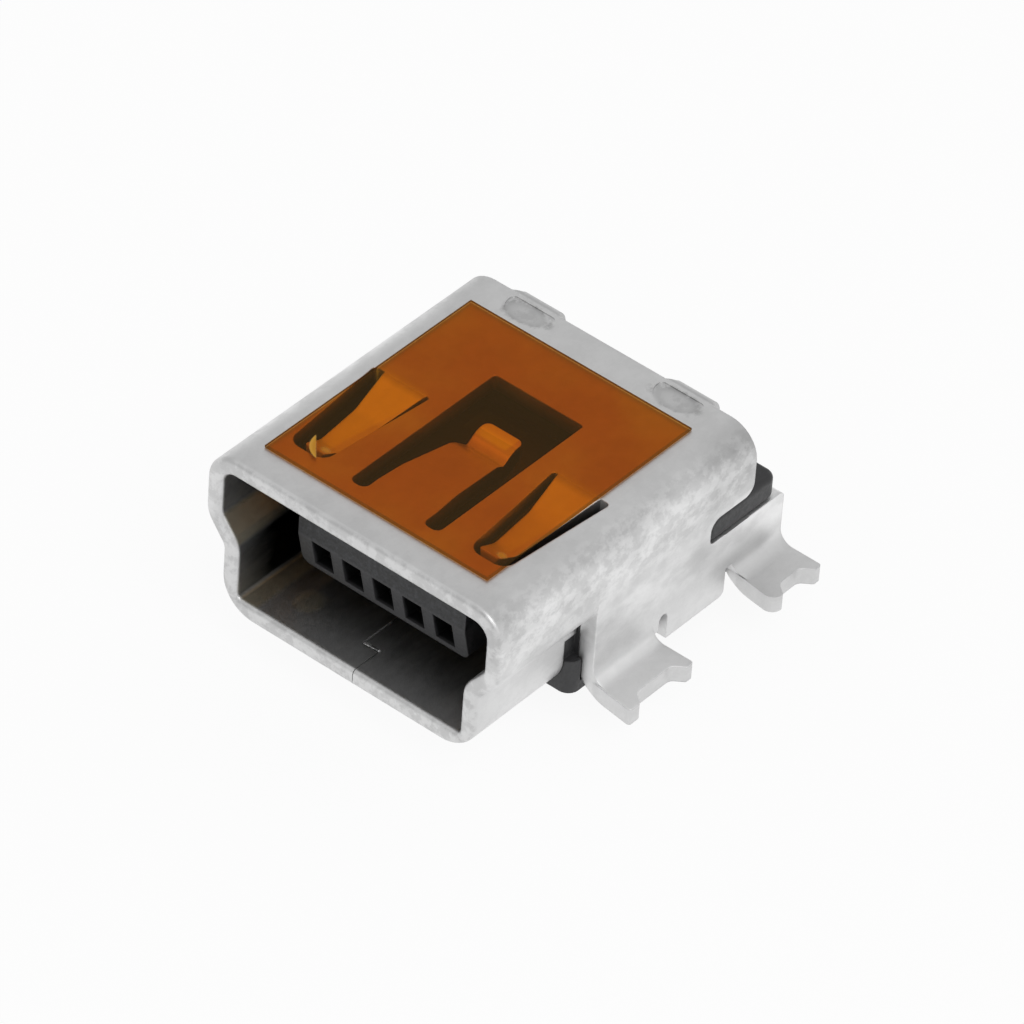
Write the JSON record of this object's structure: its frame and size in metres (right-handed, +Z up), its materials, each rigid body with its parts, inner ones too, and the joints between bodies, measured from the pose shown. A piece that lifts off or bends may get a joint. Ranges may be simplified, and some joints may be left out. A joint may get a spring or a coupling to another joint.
{
  "type": "mini usb socket",
  "caption": "Surface-mount mini usb socket: folded metal shell with solder tabs and springs, black housing, contacts, pick-up film.",
  "frame": {"origin": "midway between the two pegs, on the board's surface", "axes": "-Y out of the mouth towards the plug, +Y to the rear and the contact feet, +Z up from the board, +X completes a right-handed frame"},
  "size_m": [0.01, 0.0097, 0.0049],
  "materials": {
    "shell": "satin tin plating",
    "housing": "matt moulded",
    "contact": "satin gold plating",
    "film": "clear amber film"
  },
  "bodies": {
    "root": {"shell": "shell", "housing": "housing", "contact_1": "contact", "contact_2": "contact", "contact_3": "contact", "contact_4": "contact", "contact_5": "contact", "pickup_film": "film"}
  },
  "joints": []
}
